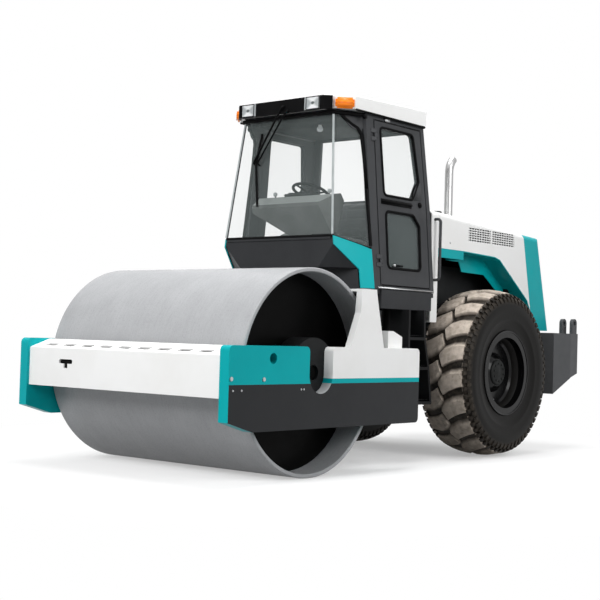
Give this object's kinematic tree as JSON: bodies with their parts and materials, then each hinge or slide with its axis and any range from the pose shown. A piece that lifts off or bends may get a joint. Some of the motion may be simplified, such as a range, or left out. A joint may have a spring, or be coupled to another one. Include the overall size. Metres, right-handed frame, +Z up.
{
  "type": "road roller",
  "caption": "Road roller with a smooth steel drum, a pivot between its front and rear frames, a glazed cab and a rear engine under a tilting hood.",
  "frame": {"origin": "on the ground under the middle of the whole machine's length and width", "axes": "+X forward towards the drum, +Y to the driver's left, +Z up"},
  "size_m": [5.572, 2.338, 3.1993],
  "materials": {
    "drum_steel": "worn rolled steel",
    "drum_paint": "black frame paint",
    "teal_paint": "gloss teal paint",
    "white_paint": "gloss white paint",
    "dark_paint": "satin dark grey paint",
    "bright_steel": "polished steel",
    "black_plastic": "black plastic",
    "grey_plastic": "grey plastic",
    "seat_fabric": "dark fabric",
    "tyre_rubber": "dusty rubber",
    "clear_glass": "tinted glass",
    "lamp_lens": "clear lens",
    "amber_lens": "amber lens"
  },
  "bodies": {
    "rear_machine": {"rear_chassis": "dark_paint", "rear_axle": "drum_paint", "engine": "dark_paint", "ballast": "dark_paint", "cab_floor": "drum_paint", "cab_frame": "dark_paint", "cab_glass": "clear_glass", "screen_frame": "dark_paint", "nose_panel": "dark_paint", "nose_sides": "teal_paint", "cab_roof": "white_paint", "roof_fascia": "black_plastic", "headlamps": "lamp_lens", "marker_lamps": "amber_lens", "dashboard": "grey_plastic", "steering_wheel": "black_plastic", "seat": "seat_fabric", "access_steps": "dark_paint", "grab_rails": "dark_paint", "bulkhead": "white_paint"},
    "front_frame": {"side_plate_left": "teal_paint", "side_plate_right": "teal_paint", "front_beam": "white_paint", "rear_crossmember": "dark_paint", "hitch_pin": "dark_paint", "drum_carriers": "dark_paint", "frame_posts": "white_paint"},
    "drum": {"drum_shell": "drum_steel", "drum_ends": "drum_paint"},
    "wheel_left": {"rim_left": "dark_paint", "tyre_left": "tyre_rubber"},
    "wheel_right": {"rim_right": "dark_paint", "tyre_right": "tyre_rubber"},
    "left_door": {"door_left": "dark_paint", "door_glass_left": "clear_glass"},
    "right_door": {"door_right": "dark_paint", "door_glass_right": "clear_glass"},
    "hood": {"hood_shell": "white_paint", "hood_tail": "teal_paint", "hood_skirts": "teal_paint", "exhaust_pipe": "bright_steel"},
    "barrel_left": {"steering_cylinder_left": "drum_paint"},
    "barrel_right": {"steering_cylinder_right": "drum_paint"},
    "rod_left": {"steering_rod_left": "bright_steel"},
    "rod_right": {"steering_rod_right": "bright_steel"}
  },
  "joints": [
    {"name": "articulation", "type": "hinge", "parent": "rear_machine", "child": "front_frame", "pos_m": [0.277, 0, 0.715], "axis": [0, 0, 1], "range_deg": [-35, 35]},
    {"name": "drum_spin", "type": "hinge", "parent": "front_frame", "child": "drum", "pos_m": [1.742, 0, 0.81], "axis": [0, 1, 0], "continuous": true},
    {"name": "wheel_left_spin", "type": "hinge", "parent": "rear_machine", "child": "wheel_left", "pos_m": [-1.188, 0.815, 0.795], "axis": [0, 1, 0], "continuous": true},
    {"name": "wheel_right_spin", "type": "hinge", "parent": "rear_machine", "child": "wheel_right", "pos_m": [-1.188, -0.815, 0.795], "axis": [0, 1, 0], "continuous": true},
    {"name": "door_left_hinge", "type": "hinge", "parent": "rear_machine", "child": "left_door", "pos_m": [0.484, 0.72761, 2.27738], "axis": [0, 0.0864, -0.9963], "range_deg": [0, 95]},
    {"name": "door_right_hinge", "type": "hinge", "parent": "rear_machine", "child": "right_door", "pos_m": [0.484, -0.72761, 2.27738], "axis": [0, 0.0864, 0.9963], "range_deg": [0, 95]},
    {"name": "hood_hinge", "type": "hinge", "parent": "rear_machine", "child": "hood", "pos_m": [-2.58, 0, 1.245], "axis": [0, -1, 0], "range_deg": [0, 45]},
    {"name": "barrel_left_pivot", "type": "hinge", "parent": "rear_machine", "child": "barrel_left", "pos_m": [-0.243, 0.25, 0.715], "axis": [0, 0, 1], "range_deg": [-4, 4]},
    {"name": "barrel_right_pivot", "type": "hinge", "parent": "rear_machine", "child": "barrel_right", "pos_m": [-0.243, -0.25, 0.715], "axis": [0, 0, 1], "range_deg": [-4, 4]},
    {"name": "rod_left_slide", "type": "slide", "parent": "barrel_left", "child": "rod_left", "axis": [0.9986, -0.053, 0], "range_m": [-0.135, 0.135]},
    {"name": "rod_right_slide", "type": "slide", "parent": "barrel_right", "child": "rod_right", "axis": [0.9986, 0.053, 0], "range_m": [-0.135, 0.135]}
  ],
  "couplings": [
    {"joint": "barrel_left_pivot", "follows": "articulation", "ratio": 0.0306},
    {"joint": "barrel_right_pivot", "follows": "articulation", "ratio": 0.0306},
    {"joint": "rod_left_slide", "follows": "articulation", "m_per_rad": -0.2102},
    {"joint": "rod_right_slide", "follows": "articulation", "m_per_rad": 0.2102}
  ]
}
